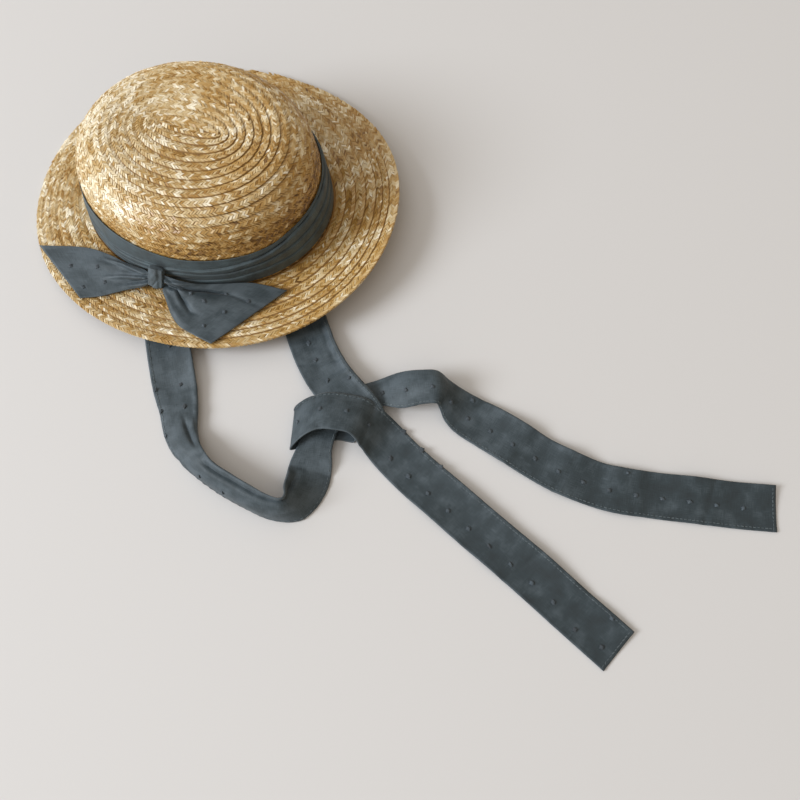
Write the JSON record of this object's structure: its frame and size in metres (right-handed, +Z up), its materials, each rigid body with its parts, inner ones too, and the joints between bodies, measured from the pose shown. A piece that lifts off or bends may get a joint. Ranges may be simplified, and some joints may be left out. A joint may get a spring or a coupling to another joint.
{
  "type": "child's straw boater hat",
  "caption": "Child's straw boater: round-shouldered crown, warped oval brim, pleated cotton band with a bow, and long knotted cotton ties lying on the surface.",
  "frame": {"origin": "middle of the whole footprint, hat and ties, on the surface that the hat lies on", "axes": "+Z up from the surface, +Y away from the viewer, from the free ties towards the hat, +X to the right, along the longest extent, from the crown towards the end of the left tie"},
  "size_m": [0.5167, 0.4618, 0.0858],
  "materials": {
    "straw_crown": "plaited wheat straw, satin",
    "straw_brim": "plaited wheat straw, satin",
    "cotton_band": "plain woven cotton, matt",
    "cotton_ribbon": "plain woven cotton with small tufts, matt"
  },
  "bodies": {
    "root": {"crown": "straw_crown", "brim": "straw_brim", "band": "cotton_band", "bow_knot": "cotton_band", "bow_tail_left": "cotton_ribbon", "bow_tail_right": "cotton_ribbon", "tie_left": "cotton_ribbon", "tie_right": "cotton_ribbon"}
  },
  "joints": []
}
